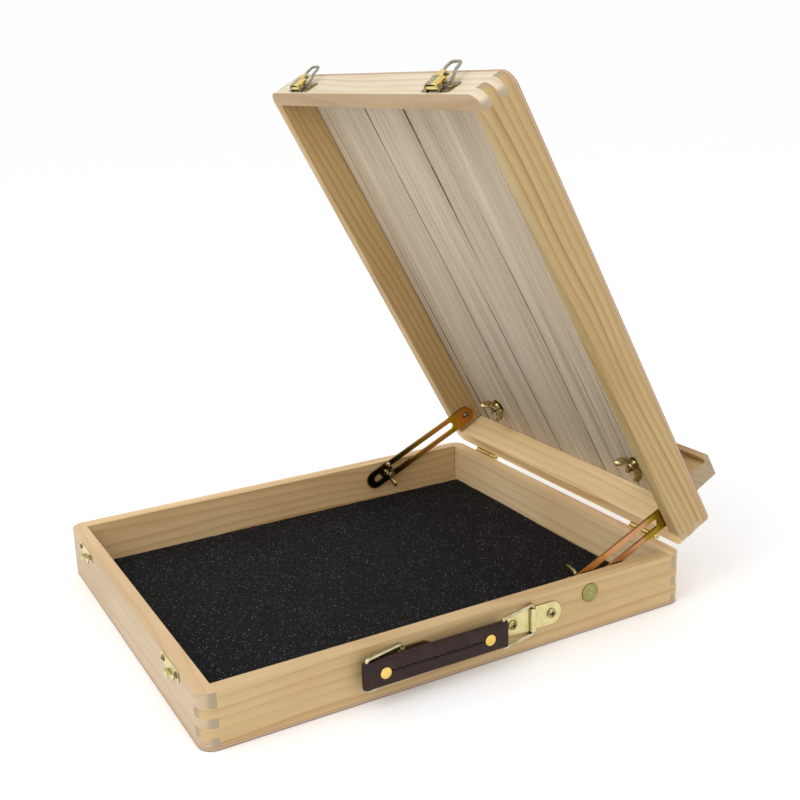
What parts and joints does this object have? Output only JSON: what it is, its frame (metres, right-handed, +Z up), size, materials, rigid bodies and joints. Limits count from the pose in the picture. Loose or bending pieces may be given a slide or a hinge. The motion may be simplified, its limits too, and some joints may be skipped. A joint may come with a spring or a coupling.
{
  "type": "table box easel",
  "caption": "Wooden table box easel: foam-lined tray, lid raised on two slotted stays, canvas ledge, toggle latches and a strap handle.",
  "frame": {"origin": "centre of the box's underside, on the table", "axes": "+Z up, -Y the front wall with the catches, +Y the rear wall with the hinges, +X the wall with the carrying handle"},
  "size_m": [0.3454, 0.4364, 0.4192],
  "materials": {
    "pine": "clear satin",
    "plywood": "raw",
    "veneer": "matt",
    "foam": "closed-cell foam, matt",
    "brass_plate": "pale brass plating",
    "rivet_brass": "bright",
    "strap_leather": "smooth dark brown",
    "dark_steel": "dark plating",
    "bronzed_steel": "bronzed",
    "zinc_steel": "yellow zinc, iridescent",
    "wire_steel": "dull plating"
  },
  "bodies": {
    "base": {"base_bottom_panel": "plywood", "base_front_wall": "pine", "base_rear_wall": "pine", "base_left_wall": "pine", "base_right_wall": "pine", "foam_liner": "foam", "catch_left": "brass_plate", "catch_right": "brass_plate", "catch_screws": "dark_steel", "handle_bracket_front": "brass_plate", "handle_bracket_rear": "brass_plate", "bracket_screws": "dark_steel", "hinge_base_screws": "dark_steel", "stay_bolt_left": "zinc_steel", "stay_washer_left": "dark_steel", "hinge_base_leaf_left": "brass_plate", "hinge_pin_left": "wire_steel", "stay_bolt_right": "zinc_steel", "stay_washer_right": "dark_steel", "hinge_base_leaf_right": "brass_plate", "hinge_pin_right": "wire_steel"},
    "lid": {"lid_front_wall": "pine", "lid_rear_wall": "pine", "lid_left_wall": "pine", "lid_right_wall": "pine", "lid_panel": "veneer", "canvas_ledge": "pine", "hinge_lid_screws": "dark_steel", "latch_screws": "dark_steel", "hinge_lid_leaf_left": "brass_plate", "ledge_bolt_left": "bronzed_steel", "ledge_washer_left": "dark_steel", "latch_plate_left": "brass_plate", "latch_pin_left": "wire_steel", "hinge_lid_leaf_right": "brass_plate", "ledge_bolt_right": "bronzed_steel", "ledge_washer_right": "dark_steel", "latch_plate_right": "brass_plate", "latch_pin_right": "wire_steel"},
    "handle_loop_front": {"handle_loop_front": "wire_steel"},
    "handle_loop_rear": {"handle_loop_rear": "wire_steel"},
    "handle_strap": {"handle_strap": "strap_leather", "handle_rivets": "rivet_brass"},
    "stay_left": {"stay_left": "zinc_steel", "stay_pivot_left": "zinc_steel"},
    "stay_wing_nut_left": {"stay_wing_nut_left": "bronzed_steel"},
    "ledge_wing_nut_left": {"ledge_wing_nut_left": "bronzed_steel"},
    "latch_lever_left": {"latch_lever_left": "brass_plate"},
    "latch_bail_left": {"latch_bail_left": "wire_steel"},
    "stay_right": {"stay_right": "zinc_steel", "stay_pivot_right": "zinc_steel"},
    "stay_wing_nut_right": {"stay_wing_nut_right": "bronzed_steel"},
    "ledge_wing_nut_right": {"ledge_wing_nut_right": "bronzed_steel"},
    "latch_lever_right": {"latch_lever_right": "brass_plate"},
    "latch_bail_right": {"latch_bail_right": "wire_steel"}
  },
  "joints": [
    {"name": "lid_hinge", "type": "hinge", "parent": "base", "child": "lid", "pos_m": [0, 0.2033, 0.0418], "axis": [-1, 0, 0], "range_deg": [-61.9, 25.1]},
    {"name": "stay_slide_left", "type": "slide", "parent": "base", "child": "stay_left", "axis": [0, 0.9113, 0.4116], "range_m": [-0.03, 0.0122]},
    {"name": "stay_wing_nut_turn_left", "type": "hinge", "parent": "base", "child": "stay_wing_nut_left", "pos_m": [-0.1497, 0.108, 0.0315], "axis": [1, 0, 0], "continuous": true},
    {"name": "ledge_wing_nut_turn_left", "type": "hinge", "parent": "lid", "child": "ledge_wing_nut_left", "pos_m": [-0.1, 0.20587, 0.09452], "axis": [0, 0.8821, 0.471], "continuous": true},
    {"name": "latch_lever_hinge_left", "type": "hinge", "parent": "lid", "child": "latch_lever_left", "pos_m": [-0.11, 0.01501, 0.40208], "axis": [1, 0, 0], "range_deg": [-2, 56]},
    {"name": "latch_bail_hinge_left", "type": "hinge", "parent": "latch_lever_left", "child": "latch_bail_left", "pos_m": [-0.11, 0.01945, 0.40532], "axis": [1, 0, 0], "range_deg": [-11, 110]},
    {"name": "stay_slide_right", "type": "slide", "parent": "base", "child": "stay_right", "axis": [0, 0.9113, 0.4116], "range_m": [-0.03, 0.0122]},
    {"name": "stay_wing_nut_turn_right", "type": "hinge", "parent": "base", "child": "stay_wing_nut_right", "pos_m": [0.1497, 0.108, 0.0315], "axis": [1, 0, 0], "continuous": true},
    {"name": "ledge_wing_nut_turn_right", "type": "hinge", "parent": "lid", "child": "ledge_wing_nut_right", "pos_m": [0.1, 0.20587, 0.09452], "axis": [0, 0.8821, 0.471], "continuous": true},
    {"name": "latch_lever_hinge_right", "type": "hinge", "parent": "lid", "child": "latch_lever_right", "pos_m": [0.11, 0.01501, 0.40208], "axis": [1, 0, 0], "range_deg": [-2, 56]},
    {"name": "latch_bail_hinge_right", "type": "hinge", "parent": "latch_lever_right", "child": "latch_bail_right", "pos_m": [0.11, 0.01945, 0.40532], "axis": [1, 0, 0], "range_deg": [-11, 110]},
    {"name": "handle_swing_front", "type": "hinge", "parent": "base", "child": "handle_loop_front", "pos_m": [0.1666, -0.0554, 0.025], "axis": [0, 0, 1], "range_deg": [-1.5, 155]},
    {"name": "handle_swing_rear", "type": "hinge", "parent": "base", "child": "handle_loop_rear", "pos_m": [0.1666, 0.0546, 0.025], "axis": [0, 0, 1], "range_deg": [-1.5, 155]},
    {"name": "handle_strap_turn", "type": "hinge", "parent": "handle_loop_front", "child": "handle_strap", "pos_m": [0.17352, -0.08562, 0.025], "axis": [0, 0, 1], "range_deg": [-155, 1.5]}
  ],
  "couplings": [
    {"joint": "stay_slide_left", "follows": "lid_hinge", "m_per_rad": 0.0275},
    {"joint": "stay_slide_right", "follows": "lid_hinge", "m_per_rad": 0.0275},
    {"joint": "handle_swing_rear", "follows": "handle_swing_front", "ratio": 1},
    {"joint": "handle_strap_turn", "follows": "handle_swing_front", "ratio": -1}
  ]
}
